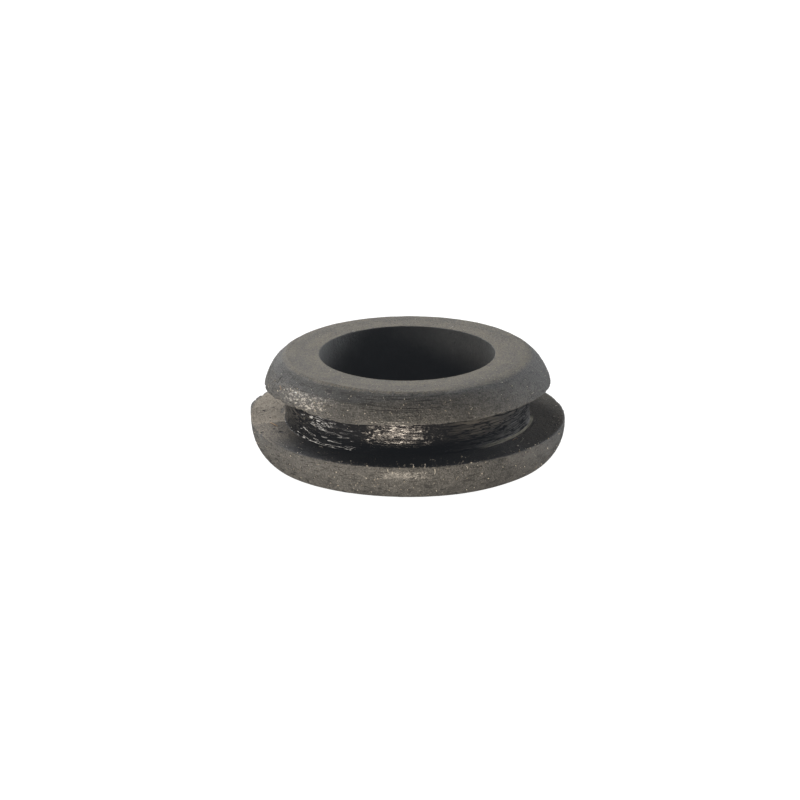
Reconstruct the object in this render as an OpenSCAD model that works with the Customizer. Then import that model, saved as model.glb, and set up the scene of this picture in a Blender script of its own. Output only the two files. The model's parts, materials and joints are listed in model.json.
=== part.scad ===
// Rubber grommet: one moulded ring with an open bore, a panel groove and two flanges.
// The origin is the centre of the foot face, and +Z runs up the bore.
// The base flange is the wide one, and the domed upper flange is the one pushed through the panel.

/* [Bore] */
// Diameter of the open bore
bore_d = 19; // [12:0.5:23]

/* [Groove] */
// Diameter of the neck at the bottom of the groove, which is the panel hole's size
neck_d = 26.5; // [24:0.25:29]
// Width of the groove between the two flanges
groove_w = 4.1; // [1.5:0.1:10]
// Radius of the fillets in the corners of the groove
root_r = 0.2; // [0.05:0.05:0.6]

/* [Upper flange] */
// Diameter of the upper flange at its lip, beside the groove
upper_d = 30.8; // [30:0.1:36]
// Thickness of the upper flange
upper_t = 3.05; // [2:0.05:6]
// Diameter of the flat top face, out to the shoulder
top_face_d = 26.4; // [24:0.1:28]
// How far the upper flange's side bulges past a straight taper
upper_bulge = 0.42; // [0.1:0.02:0.7]

/* [Base flange] */
// Diameter of the base flange at its lip, beside the groove
base_d = 34.1; // [32:0.1:42]
// Thickness of the base flange
base_t = 3.85; // [2:0.05:8]
// Diameter of the flat foot face
foot_d = 30.7; // [26:0.1:31.5]
// How far the base flange's side bulges past a straight taper
base_bulge = 0.53; // [0.1:0.01:0.8]

/* [Edges] */
// Radius that rounds the lip of each flange
lip_r = 0.15; // [0.05:0.05:0.4]

/* [Hidden] */
$fn = 180;
bore_r = bore_d / 2;
neck_r = neck_d / 2;
groove_floor_z = base_t;
groove_roof_z = base_t + groove_w;
top_z = groove_roof_z + upper_t;
arc_overlap = 0.0002; // the lip's arc stands this far past the side's, so the two always cross

// Points are [radius, height] on the section plane. A flange's side runs from its lip, beside
// the groove, to the edge of its flat face, as one arc that bulges outwards.

// Unit vector that points out of the side that joins the lip to the face's edge
function outward(lip, face) =
    [face[1] - lip[1], lip[0] - face[0]] * sign(face[1] - lip[1]) / norm(face - lip);

// Radius of the arc over a chord that rises by bulge in its middle
function arc_radius(chord, bulge) = (chord * chord / 4 + bulge * bulge) / (2 * bulge);

// Radius and centre of a flange's side
function side_radius(lip, face, bulge) = arc_radius(norm(face - lip), bulge);
function side_centre(lip, face, bulge) =
    (lip + face) / 2 - outward(lip, face) * (side_radius(lip, face, bulge) - bulge);

// What comes off a lip to round it, tangent to the groove's flat wall and to the side
module lip_cut(lip, face, bulge) {
    toward = sign(face[1] - lip[1]);
    middle = side_centre(lip, face, bulge);
    round_z = lip[1] + toward * lip_r;
    gap = side_radius(lip, face, bulge) - lip_r + arc_overlap;
    round_x = middle[0] + sqrt(gap * gap - pow(round_z - middle[1], 2));
    centre = [round_x, round_z];
    reach = 2 * lip_r;
    difference() {
        polygon([
            centre,
            centre + [0, -toward * reach],
            centre + [reach, -toward * reach],
            centre + reach * (centre - middle) / norm(centre - middle)
        ]);
        translate(centre) circle(r = lip_r);
    }
}

// Section of one flange, from the bore out to its bulged side
module flange_section(lip, face, bulge) {
    middle = side_centre(lip, face, bulge);
    radius = side_radius(lip, face, bulge);
    thickness = abs(face[1] - lip[1]);
    web_end = max(middle[0], (bore_r + face[0]) / 2);
    difference() {
        union() {
            intersection() {
                translate(middle) circle(r = radius);
                translate([bore_r, min(lip[1], face[1])]) square([lip[0] + bulge, thickness]);
            }
            translate([bore_r, min(lip[1], face[1])]) square([web_end - bore_r, thickness]);
        }
        lip_cut(lip, face, bulge);
    }
}

// Section of the fillet between the neck and a wall of the groove. It lies above the wall
// where toward is 1, and below it where toward is -1.
module root_fillet(wall_z, toward) {
    difference() {
        translate([neck_r, wall_z + min(toward, 0) * root_r]) square(root_r);
        translate([neck_r + root_r, wall_z + toward * root_r]) circle(r = root_r);
    }
}

// Section of the neck, with a fillet in each corner of the groove
module neck_section() {
    translate([bore_r, groove_floor_z]) square([neck_r - bore_r, groove_w]);
    root_fillet(groove_floor_z, 1);
    root_fillet(groove_roof_z, -1);
}

module grommet() {
    color([0.17, 0.17, 0.16]) rotate_extrude() {
        flange_section([base_d / 2, groove_floor_z], [foot_d / 2, 0], base_bulge);
        neck_section();
        flange_section([upper_d / 2, groove_roof_z], [top_face_d / 2, top_z], upper_bulge);
    }
}

grommet();
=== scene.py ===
"""Dresses a moulded rubber grommet: its worn skin, the dust and lint on it, and a white studio table.

Lengths are in millimetres until a mesh is finished, and angles are in degrees round the bore: 0 points
to the front (-Y), 90 to the right (+X), 180 to the back and -90 to the left.
"""

import json
import logging
import math
import random
from dataclasses import dataclass
from enum import Enum

import bmesh
import bpy
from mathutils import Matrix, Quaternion, Vector, noise
from mathutils.bvhtree import BVHTree


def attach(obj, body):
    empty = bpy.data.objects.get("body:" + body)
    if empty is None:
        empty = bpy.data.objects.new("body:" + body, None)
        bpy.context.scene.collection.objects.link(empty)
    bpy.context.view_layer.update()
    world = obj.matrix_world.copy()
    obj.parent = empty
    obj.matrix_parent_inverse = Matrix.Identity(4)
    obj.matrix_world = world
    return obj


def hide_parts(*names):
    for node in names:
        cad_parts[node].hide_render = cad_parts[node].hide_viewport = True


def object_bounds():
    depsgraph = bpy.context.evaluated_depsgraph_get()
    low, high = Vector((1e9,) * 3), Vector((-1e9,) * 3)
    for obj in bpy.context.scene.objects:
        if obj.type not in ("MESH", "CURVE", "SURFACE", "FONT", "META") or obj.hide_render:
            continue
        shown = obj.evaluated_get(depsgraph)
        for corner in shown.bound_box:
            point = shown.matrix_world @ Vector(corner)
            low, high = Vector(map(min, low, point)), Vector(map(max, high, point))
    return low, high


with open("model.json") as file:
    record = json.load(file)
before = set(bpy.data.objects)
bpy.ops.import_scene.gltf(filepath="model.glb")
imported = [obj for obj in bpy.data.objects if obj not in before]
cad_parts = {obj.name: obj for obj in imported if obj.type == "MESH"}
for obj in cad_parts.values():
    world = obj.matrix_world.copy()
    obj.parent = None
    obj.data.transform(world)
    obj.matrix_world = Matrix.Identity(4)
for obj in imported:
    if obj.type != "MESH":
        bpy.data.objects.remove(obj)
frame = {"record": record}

MM = 0.001
NODE = "grommet"
BODY = "root"
CAD_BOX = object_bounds()

log = logging.getLogger("grommet")


# ---------------------------------------------------------------- numbers


def ramp(low: float, high: float, value: float) -> float:
    """Smooth step of a value, from 0 at low to 1 at high, where high may be the smaller."""
    share = min(1.0, max(0.0, (value - low) / (high - low)))
    return share * share * (3.0 - 2.0 * share)


def band(low: float, high: float, soft: float, value: float) -> float:
    """1 for a value between low and high, and 0 past soft outside them."""
    return ramp(low - soft, low, value) * ramp(high + soft, high, value)


def turn_between(first: float, second: float) -> float:
    """Smallest angle from one bearing to another, in degrees, with its sign."""
    return (first - second + 180.0) % 360.0 - 180.0


@dataclass(frozen=True)
class Spot:
    """A point of the skin as the wear sees it."""

    place: Vector
    radius: float
    height: float
    bearing: float

    @classmethod
    def at(cls, place: Vector) -> "Spot":
        """Reads a point's radius, height and bearing from its place in millimetres."""
        radius = math.hypot(place.x, place.y)
        return cls(place.copy(), radius, place.z, math.degrees(math.atan2(place.x, -place.y)))

    def outward(self) -> Vector:
        """Unit vector from the bore's axis to the point."""
        return Vector((self.place.x, self.place.y, 0.0)) / max(self.radius, 1e-9)

    def grain(self, along: float, across: float, seed: float) -> float:
        """Noise from about -1 to 1, in grains along long and across wide. The seed picks a pattern."""
        across_place = (self.height + self.radius) / across
        return noise.noise(Vector((self.place.x / along, self.place.y / along + seed, across_place)))


# ---------------------------------------------------------------- section


class Way(Enum):
    """Which side of its groove wall a flange lies on."""

    UP = 1
    DOWN = -1


@dataclass(frozen=True)
class Side:
    """A flange's side: one arc from its lip, beside the groove, to the edge of its flat face."""

    lip: Vector
    face: Vector
    bulge: float
    lip_round: float

    @property
    def way(self) -> Way:
        """Which side of the lip the flange lies on."""
        return Way.UP if self.face.y > self.lip.y else Way.DOWN

    @property
    def radius(self) -> float:
        """Radius of the arc."""
        chord = (self.face - self.lip).length
        return (chord * chord / 4 + self.bulge * self.bulge) / (2 * self.bulge)

    @property
    def centre(self) -> Vector:
        """Centre of the arc."""
        along = (self.face - self.lip).normalized() * self.way.value
        outward = Vector((along.y, -along.x))
        return (self.lip + self.face) / 2 - outward * (self.radius - self.bulge)

    @property
    def round_centre(self) -> Vector:
        """Centre of the small arc that rounds the lip."""
        height = self.lip.y + self.way.value * self.lip_round
        gap = self.radius - self.lip_round
        return Vector((self.centre.x + math.sqrt(gap**2 - (height - self.centre.y) ** 2), height))

    def points(self, step: float) -> list[Vector]:
        """Points from the flat face's edge along the side, at most step apart, and round the lip."""
        start = self.bearing_of(self.face)
        end = self.bearing_of(self.round_centre)
        side = arc(self.centre, self.radius, start, end, step)
        wall = -90.0 * self.way.value
        return side + arc(self.round_centre, self.lip_round, end, wall, self.lip_round / 3)[1:]

    def bearing_of(self, point: Vector) -> float:
        """Angle from the arc's centre to a point, in degrees above level."""
        return math.degrees(math.atan2(point.y - self.centre.y, point.x - self.centre.x))


def arc(centre: Vector, radius: float, start: float, end: float, step: float) -> list[Vector]:
    """Points on an arc of the section.

    Args:
        centre: The arc's centre.
        radius: Its radius.
        start: Angle of its first point, in degrees.
        end: Angle of its last point.
        step: Longest distance between points.

    Returns:
        Radius and height of each point, both ends included.
    """
    count = max(2, math.ceil(abs(math.radians(end - start)) * radius / step))
    angles = [math.radians(start + (end - start) * i / count) for i in range(count + 1)]
    return [centre + Vector((math.cos(a), math.sin(a))) * radius for a in angles]


def line(start: Vector, end: Vector, step: float) -> list[Vector]:
    """Points on a straight stretch of the section, at most step apart, without the two ends."""
    count = max(2, math.ceil((end - start).length / step))
    return [start.lerp(end, i / count) for i in range(1, count)]


@dataclass
class Section:
    """The moulding's section: radii and heights that the CAD model has, and edge rounds of its own."""

    bore_r: float
    neck_r: float
    groove_low: float
    groove_high: float
    top_z: float
    upper_lip_r: float = 15.4
    shoulder_r: float = 13.2
    upper_bulge: float = 0.42
    base_lip_r: float = 17.05
    foot_r: float = 15.35
    base_bulge: float = 0.53
    lip_round: float = 0.11
    root_round: float = 0.2
    bore_round: float = 0.1

    @classmethod
    def from_frame(cls, record: dict, top_z: float) -> "Section":
        """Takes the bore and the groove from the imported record's mounts.

        Args:
            record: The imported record.
            top_z: Height of the CAD model.

        Returns:
            The section.
        """
        mounts = {mount["name"]: mount for mount in record["mounts"]}
        groove = mounts["panel_groove"]
        middle = groove["pos_m"][2] / MM
        half = groove["dims"]["length_mm"] / 2
        return cls(
            bore_r=mounts["bore"]["dims"]["r_mm"],
            neck_r=groove["dims"]["r_mm"],
            groove_low=middle - half,
            groove_high=middle + half,
            top_z=top_z,
        )

    @property
    def upper_side(self) -> Side:
        """Side of the domed flange."""
        lip = Vector((self.upper_lip_r, self.groove_high))
        return Side(lip, Vector((self.shoulder_r, self.top_z)), self.upper_bulge, self.lip_round)

    @property
    def base_side(self) -> Side:
        """Side of the wide flange."""
        lip = Vector((self.base_lip_r, self.groove_low))
        return Side(lip, Vector((self.foot_r, 0.0)), self.base_bulge, self.lip_round)

    def outline(self) -> list[Vector]:
        """Points of the whole section, from the bore's foot up, over the flanges and back along the foot.

        Returns:
            Radius and height of each point. The last is next to the first.
        """
        edge = self.bore_round
        root = self.root_round
        wall = self.neck_r + root
        low_rim = Vector((self.bore_r + edge, edge))
        high_rim = Vector((self.bore_r + edge, self.top_z - edge))
        upper = self.upper_side.points(step=0.085)
        base = list(reversed(self.base_side.points(step=0.1)))
        points = arc(low_rim, edge, 270, 180, step=edge / 2)
        points += line(points[-1], Vector((self.bore_r, high_rim.y)), step=0.5)
        points += arc(high_rim, edge, 180, 90, step=edge / 3)
        points += line(points[-1], upper[0], step=0.12)
        points += upper
        points += line(upper[-1], Vector((wall, self.groove_high)), step=0.25)
        points += arc(Vector((wall, self.groove_high - root)), root, 90, 180, step=root / 3)
        points += line(points[-1], Vector((self.neck_r, self.groove_low + root)), step=0.05)
        points += arc(Vector((wall, self.groove_low + root)), root, 180, 270, step=root / 3)
        points += line(points[-1], base[0], step=0.11)
        points += base
        points += line(base[-1], Vector((self.bore_r + edge, 0.0)), step=0.6)
        return points


# ---------------------------------------------------------------- wear


@dataclass(frozen=True)
class Bend:
    """A stretch of a lip that stands out of round.

    It is out and rise at its bearing, and fades to nothing before it (to the left) and after it.
    """

    bearing: float
    before: float
    after: float
    out: float
    rise: float = 0.0

    def share(self, bearing: float) -> float:
        """How much of the bend a bearing gets, from 0 to 1."""
        turn = turn_between(bearing, self.bearing)
        return ramp(self.after if turn > 0 else self.before, 0.0, abs(turn))


@dataclass(frozen=True)
class Ridge:
    """A raised line on the neck, or a sunk one where out is less than 0.

    It runs from one bearing and height to another, and wavers up and down.
    """

    start: float
    end: float
    start_height: float
    end_height: float
    width: float
    out: float
    waver: float = 0.0
    reach: float = 2.5
    taper: float = 0.12

    def push(self, spot: Spot) -> float:
        """How far the line moves a point outwards.

        Args:
            spot: The point.

        Returns:
            The move, in millimetres.
        """
        along = (spot.bearing - self.start) / (self.end - self.start)
        if not 0.0 < along < 1.0:
            return 0.0
        height = self.start_height + (self.end_height - self.start_height) * along
        height += self.waver * spot.grain(1.6, 50.0, self.start)
        across = (spot.height - height) / self.width
        if abs(across) > self.reach:
            return 0.0
        return self.out * math.exp(-across * across) * band(self.taper, 1.0 - self.taper, self.taper, along)


@dataclass(frozen=True)
class Pit:
    """A small dark hole in the floor of the groove, at a bearing and a radius."""

    bearing: float
    reach: float
    size: float

    def centre(self) -> tuple[float, float]:
        """Place of its middle, in millimetres."""
        turn = math.radians(self.bearing)
        return self.reach * math.sin(turn), -self.reach * math.cos(turn)


@dataclass(frozen=True)
class Fold:
    """A crease across the wide flange: behind it, the lip is lifted.

    It climbs to its full lift over climb degrees, and sinks from level_off to end. The flange hinges a
    little outside the neck.
    """

    lip_bearing: float = -81.6
    neck_bearing: float = -84.0
    lift: float = 0.76
    climb: float = 13.0
    level_off: float = 15.0
    end: float = 80.0
    settle: float = 1.6
    hinge_gap: float = 0.25

    def behind(self, spot: Spot, section: Section) -> float:
        """Degrees from the crease towards the back, or less than 0 in front of it."""
        share = ramp(section.base_lip_r, section.neck_r, spot.radius)
        crease = self.lip_bearing + (self.neck_bearing - self.lip_bearing) * share
        return turn_between(crease, spot.bearing)

    def rise(self, spot: Spot, section: Section) -> float:
        """How far the fold lifts a point.

        Args:
            spot: The point.
            section: The moulding's section.

        Returns:
            The lift, in millimetres.
        """
        behind = self.behind(spot, section)
        if not 0.0 < behind < self.end:
            return 0.0
        climb = min(1.0, behind / self.climb)
        fall = min(1.0, (self.end - behind) / (self.end - self.level_off)) ** self.settle
        width = section.base_lip_r - section.neck_r
        outer = min(1.0, max(0.0, (spot.radius - section.neck_r - self.hinge_gap) / width))
        return self.lift * climb * fall * outer * ramp(0.5, section.groove_low, spot.height)


@dataclass(frozen=True)
class Wear:
    """Everything in which the moulding differs from its plain section: bends, nicks, scores and flash."""

    section: Section
    fold: Fold = Fold()
    shoulder_reach: float = 1.1
    shoulder_drop: float = 0.13
    wrinkle_depth: float = 0.080
    fine_wrinkle_depth: float = 0.020
    ripple_depth: float = 0.020
    crack_depth: float = 0.024
    far_crack_loss: float = 0.010
    nick_depth: float = 0.10
    wave_depth: float = 0.025
    lump_depth: float = 0.022
    hole_depth: float = 0.05
    ring_depth: float = 0.010
    rim_height: float = 0.05
    hollow_depth: float = 0.09
    upper_bends: tuple[Bend, ...] = (
        Bend(-96.0, 44.0, 40.0, 0.10, -0.40),
        Bend(-26.0, 24.0, 24.0, 0.06, -0.24),
        Bend(95.0, 46.0, 44.0, 0.15, -0.30),
    )
    base_bends: tuple[Bend, ...] = (
        Bend(-100.0, 22.0, 12.0, 0.14),
        Bend(-72.0, 26.0, 50.0, -0.18),
        Bend(75.0, 60.0, 60.0, 0.02),
    )
    foot_bends: tuple[Bend, ...] = (
        Bend(60.0, 56.0, 44.0, 0.20),
        Bend(-84.0, 24.0, 26.0, -0.11),
        Bend(0.0, 70.0, 60.0, 0.16),
        Bend(18.0, 34.0, 30.0, 0.18),
        Bend(-52.0, 30.0, 30.0, 0.06),
    )
    ridges: tuple[Ridge, ...] = (
        Ridge(-54.0, -20.0, 5.80, 4.80, 0.150, 0.060, 0.05),
        Ridge(-74.0, -22.0, 3.98, 3.96, 0.120, 0.110, 0.04),
        Ridge(-62.0, -40.0, 6.45, 6.00, 0.130, 0.050, 0.05),
        Ridge(-50.0, -33.0, 6.95, 6.75, 0.120, 0.045, 0.05),
        Ridge(-58.0, -44.0, 7.30, 7.20, 0.100, 0.040, 0.04),
        Ridge(-45.0, -28.0, 6.35, 6.15, 0.110, 0.045, 0.05),
        Ridge(-48.0, -34.0, 5.55, 5.40, 0.080, 0.030, 0.04),
        Ridge(-66.0, -30.0, 4.75, 4.45, 0.120, 0.035, 0.06),
        Ridge(14.0, 44.0, 6.20, 6.40, 0.045, -0.045, 0.06),
        Ridge(26.0, 58.0, 5.75, 5.95, 0.045, -0.045, 0.06),
        Ridge(12.0, 52.0, 5.20, 5.10, 0.050, -0.040, 0.06),
        Ridge(34.0, 66.0, 6.70, 6.95, 0.045, -0.040, 0.05),
        Ridge(42.0, 70.0, 5.20, 5.40, 0.045, -0.040, 0.05),
        Ridge(16.0, 40.0, 4.62, 4.55, 0.045, -0.035, 0.04),
        Ridge(-14.0, 8.0, 5.02, 5.05, 0.055, -0.035, 0.05),
        Ridge(-12.0, 2.0, 5.62, 5.60, 0.045, -0.030, 0.04),
        Ridge(-18.0, 16.0, 7.08, 7.10, 0.060, -0.040, 0.05),
    )
    flash: Ridge = Ridge(8.0, 87.0, 4.08, 3.84, 0.120, 0.22, 0.02)
    pits: tuple[Pit, ...] = (
        Pit(-73.4, 15.0, 0.20),
        Pit(-68.8, 14.6, 0.30),
        Pit(-71.0, 16.6, 0.16),
        Pit(-87.0, 14.9, 0.14),
        Pit(-93.0, 15.6, 0.18),
        Pit(-99.0, 14.8, 0.15),
    )

    def moved(self, place: Vector) -> Vector:
        """Where a point of the fresh moulding is now.

        Args:
            place: The point, in millimetres.

        Returns:
            Its new place.
        """
        spot = Spot.at(place)
        if spot.radius < self.section.bore_r + 0.05 or spot.height < 0.02:
            return place
        out, rise = self.bends(spot)
        out += self.scores(spot)
        nick_out, nick_rise = self.nicks(spot)
        grain_out, grain_rise = self.grain(spot)
        moved = place + spot.outward() * (out + nick_out + grain_out)
        moved.z = max(0.0, moved.z + rise + nick_rise + grain_rise)
        return moved

    def bends(self, spot: Spot) -> tuple[float, float]:
        """Slow bends of both flanges.

        Args:
            spot: The point.

        Returns:
            The moves outwards and upwards.
        """
        part = self.section
        out, rise = 0.0, 0.0
        if spot.height > (part.groove_low + part.groove_high) / 2:
            reach = ramp(part.neck_r, part.upper_lip_r, spot.radius)
            weight = reach * ramp(part.groove_high + 2.3, part.groove_high + 0.2, spot.height)
            for bend in self.upper_bends:
                out += bend.out * weight * bend.share(spot.bearing)
                rise += bend.rise * weight * bend.share(spot.bearing)
            return out, rise
        lip = ramp(part.neck_r, part.base_lip_r, spot.radius) * ramp(0.8, part.groove_low, spot.height)
        foot = ramp(12.0, 15.0, spot.radius) * ramp(part.groove_low, 0.6, spot.height)
        for bend in self.base_bends:
            out += bend.out * lip * bend.share(spot.bearing)
        for bend in self.foot_bends:
            out += bend.out * foot * bend.share(spot.bearing)
        return out, self.fold.rise(spot, part)

    def scores(self, spot: Spot) -> float:
        """Scored lines round the neck, the swelling at its root and the strip of flash.

        Args:
            spot: The point.

        Returns:
            The move outwards.
        """
        part = self.section
        between = part.groove_low - 0.05 < spot.height < part.groove_high + 0.05
        if spot.radius > part.neck_r + 0.6 or not between:
            return 0.0
        out = sum(ridge.push(spot) for ridge in self.ridges) + self.flash.push(spot)
        ends = band(part.groove_low + 0.25, part.groove_high - 0.2, 0.2, spot.height)
        lines = 1.0 - 2.6 * abs(spot.grain(2.6, 0.34, 3.0))
        wrinkle = self.wrinkle_depth * spot.grain(1.1, 0.32, 57.0)
        wrinkle += self.fine_wrinkle_depth * spot.grain(0.7, 0.20, 11.0)
        ripple = self.ripple_depth * spot.grain(0.70, 0.26, 83.0)
        left = band(-76.0, -24.0, 8.0, spot.bearing)
        right = band(16.0, 85.0, 10.0, spot.bearing)
        out += ends * (0.004 + 0.012 * left) * max(-0.6, lines)
        crack = ramp(0.26, 0.04, abs(spot.grain(4.6, 0.42, 23.0)))
        crack *= ramp(-0.5, -0.1, spot.grain(2.4, 0.6, 31.0))
        depth = self.crack_depth - self.far_crack_loss * ramp(50.0, 70.0, spot.bearing)
        even = (1.0 - left) * (1.0 - 0.8 * right) * ripple
        return out + ends * (left * wrinkle + even - depth * right * crack)

    def nicks(self, spot: Spot) -> tuple[float, float]:
        """Ragged edges of both lips.

        Args:
            spot: The point.

        Returns:
            The moves outwards and upwards.
        """
        part = self.section
        upper = band(-0.1, 0.22, 0.18, spot.height - part.groove_high)
        upper *= ramp(0.7, 0.1, part.upper_lip_r - spot.radius)
        base = band(-0.2, 0.1, 0.15, spot.height - part.groove_low)
        base *= ramp(0.7, 0.1, part.base_lip_r - spot.radius)
        if upper + base <= 0.0:
            return 0.0, 0.0
        left = band(-115.0, -40.0, 18.0, spot.bearing)
        bite = ramp(0.12, 0.5, spot.grain(0.8, 1.6, 41.0)) * (0.30 + 0.70 * left)
        nick = self.nick_depth * bite
        wave = self.wave_depth * spot.grain(1.5, 8.0, 47.0)
        return (upper + base) * (wave - nick), upper * (nick + wave) - base * 0.7 * nick

    def grain(self, spot: Spot) -> tuple[float, float]:
        """Shallow lumps of the dusty faces, and faint turned rings on the top.

        Args:
            spot: The point.

        Returns:
            The moves outwards and upwards.
        """
        part = self.section
        if spot.radius < part.neck_r + 0.3 and spot.height < part.groove_high:
            return 0.0, 0.0
        side = ramp(part.top_z - 0.05, part.top_z - 0.5, spot.height)
        rough = 0.010 + 0.012 * side
        lumps = self.lump_depth * noise.noise(spot.place / 1.3)
        lumps += rough * noise.noise(spot.place / 0.5 + Vector((9, 0, 0)))
        lumps -= self.hole_depth * side * ramp(0.34, 0.62, spot.grain(0.9, 0.45, 71.0))
        top = ramp(part.top_z - 0.25, part.top_z - 0.02, spot.height)
        turned = Vector((spot.radius * 2.2, spot.bearing * 0.01, 4.0))
        rings = top * self.ring_depth * noise.noise(turned)
        left = band(-75.0, -25.0, 15.0, spot.bearing)
        crisp = self.rim_height * top * left * ramp(0.45, 0.0, abs(spot.radius - part.shoulder_r + 0.15))
        hollow = self.hollow_depth * left * ramp(0.5, 0.0, abs(spot.height - part.top_z + 0.65))
        soft_out, soft_drop = self.soft_shoulder(spot)
        return lumps - hollow - soft_out, 0.6 * lumps + rings + crisp - 0.4 * hollow - soft_drop

    def soft_shoulder(self, spot: Spot) -> tuple[float, float]:
        """Rounds the top's outer edge, most of all at the right.

        Args:
            spot: The point.

        Returns:
            The moves inwards and downwards.
        """
        part = self.section
        gap = math.hypot(spot.radius - part.shoulder_r, spot.height - part.top_z)
        if gap > self.shoulder_reach or spot.radius < part.bore_r + 1.0:
            return 0.0, 0.0
        right = 0.95 * band(28.0, 84.0, 22.0, spot.bearing)
        worn = 0.10 + right + 0.25 * band(-20.0, 20.0, 12.0, spot.bearing)
        drop = self.shoulder_drop * worn * (1.0 - gap / self.shoulder_reach) ** 2
        return 0.26 * drop, 0.96 * drop


# ---------------------------------------------------------------- shader bench


@dataclass(frozen=True)
class Colour:
    """A linear colour."""

    red: float
    green: float
    blue: float

    def rgba(self) -> tuple[float, float, float, float]:
        """The colour as a socket takes it."""
        return (self.red, self.green, self.blue, 1.0)


class Signal:
    """A shader value that can be used in sums, products and comparisons."""

    def __init__(self, bench: "Bench", socket: bpy.types.NodeSocket) -> None:
        """Wraps a node's output.

        Args:
            bench: The bench that adds nodes.
            socket: The output.
        """
        self.bench = bench
        self.socket = socket

    def math(self, operation: str, *others: "Signal | float") -> "Signal":
        """Adds a Math node that starts from this value."""
        return self.bench.math(operation, self, *others)

    def __add__(self, other: "Signal | float") -> "Signal":
        """Sum."""
        return self.bench.math("ADD", self, other)

    def __radd__(self, other: float) -> "Signal":
        """Sum, from the right."""
        return self.bench.math("ADD", other, self)

    def __sub__(self, other: "Signal | float") -> "Signal":
        """Difference."""
        return self.bench.math("SUBTRACT", self, other)

    def __rsub__(self, other: float) -> "Signal":
        """Difference, from the right."""
        return self.bench.math("SUBTRACT", other, self)

    def __mul__(self, other: "Signal | float") -> "Signal":
        """Product."""
        return self.bench.math("MULTIPLY", self, other)

    def __rmul__(self, other: float) -> "Signal":
        """Product, from the right."""
        return self.bench.math("MULTIPLY", other, self)

    def ramp(self, low: float, high: float) -> "Signal":
        """Smooth step of this value, from 0 at low to 1 at high, where high may be the smaller."""
        flipped = high < low
        ends = {"From Min": min(low, high), "From Max": max(low, high)}
        ends |= {"To Min": float(flipped), "To Max": float(not flipped)}
        smooth = {"interpolation_type": "SMOOTHSTEP"}
        node = self.bench.add("ShaderNodeMapRange", smooth, {"Value": self, **ends})
        return Signal(self.bench, node.outputs["Result"])

    def band(self, low: float, high: float, soft: float) -> "Signal":
        """1 between low and high, and 0 past soft outside them."""
        return self.ramp(low - soft, low) * self.ramp(high + soft, high)


class Bench:
    """Adds nodes to one material."""

    def __init__(self, name: str) -> None:
        """Makes an empty material.

        Args:
            name: The material's name.
        """
        self.material = bpy.data.materials.new(name)
        self.material.use_nodes = True
        self.tree = self.material.node_tree
        self.tree.nodes.clear()

    def add(self, kind: str, settings: dict | None = None, inputs: dict | None = None) -> bpy.types.Node:
        """Adds a node.

        Args:
            kind: The node's type.
            settings: Its own settings, set before its sockets.
            inputs: Values or signals of its sockets, by name or number.

        Returns:
            The node.
        """
        node = self.tree.nodes.new(kind)
        for key, value in (settings or {}).items():
            setattr(node, key, value)
        for key, value in (inputs or {}).items():
            socket = node.inputs[key]
            if isinstance(value, Signal):
                self.tree.links.new(value.socket, socket)
            else:
                socket.default_value = value.rgba() if isinstance(value, Colour) else value
        return node

    def math(self, operation: str, *values: "Signal | float") -> Signal:
        """Adds a Math node.

        Args:
            operation: What it works out.
            values: Its values, in order.

        Returns:
            Its result.
        """
        node = self.add("ShaderNodeMath", {"operation": operation}, dict(enumerate(values)))
        return Signal(self, node.outputs[0])

    def vector(self, x: "Signal | float", y: "Signal | float", z: "Signal | float") -> Signal:
        """Joins three values to a vector."""
        node = self.add("ShaderNodeCombineXYZ", None, {"X": x, "Y": y, "Z": z})
        return Signal(self, node.outputs[0])

    def blend(self, factor: Signal, low: "Signal | Colour", high: "Signal | Colour") -> Signal:
        """Mixes two colours, from low where factor is 0 to high where it is 1."""
        node = self.add("ShaderNodeMix", {"data_type": "RGBA"}, {0: factor, 6: low, 7: high})
        return Signal(self, node.outputs[2])

    def channel(self, colour: bpy.types.NodeSocket) -> Signal:
        """Takes the red of a colour as a value."""
        node = self.add("ShaderNodeSeparateColor", None, {0: Signal(self, colour)})
        return Signal(self, node.outputs[0])

    def noise(self, place: Signal, detail: float, rough: float) -> Signal:
        """Noise of grain size 1 in the units of place, from 0 to 1."""
        inputs = {"Vector": place, "Scale": 1.0, "Detail": detail, "Roughness": rough}
        node = self.add("ShaderNodeTexNoise", None, inputs)
        return Signal(self, node.outputs["Fac"])

    def bump(self, height: Signal, depth_mm: float) -> Signal:
        """Turns a height from 0 to 1 into a normal, with the full depth in millimetres."""
        inputs = {"Height": height, "Strength": 1.0, "Distance": depth_mm * MM}
        node = self.add("ShaderNodeBump", None, inputs)
        return Signal(self, node.outputs["Normal"])

    def surface(self, inputs: dict, painted_gap_shade: Signal | None = None) -> None:
        """Ends the material in one Principled shader, and a matte black one mixed in as painted shade.

        Args:
            inputs: Values or signals of the shader's sockets.
            painted_gap_shade: 1 where matte black is painted in as shade, as the surface is too deep and
                dark to shine.
        """
        shader = self.add("ShaderNodeBsdfPrincipled", None, inputs).outputs[0]
        if painted_gap_shade is not None:
            # Matte black, painted in as shade.
            dark = {"Base Color": Colour(0.004, 0.004, 0.005), "Roughness": 0.9, "Specular IOR Level": 0.0}
            black = self.add("ShaderNodeBsdfPrincipled", None, dark).outputs[0]
            shares = {0: painted_gap_shade, 1: Signal(self, shader), 2: Signal(self, black)}
            shader = self.add("ShaderNodeMixShader", None, shares).outputs[0]
        output = self.add("ShaderNodeOutputMaterial")
        self.tree.links.new(shader, output.inputs["Surface"])


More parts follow.
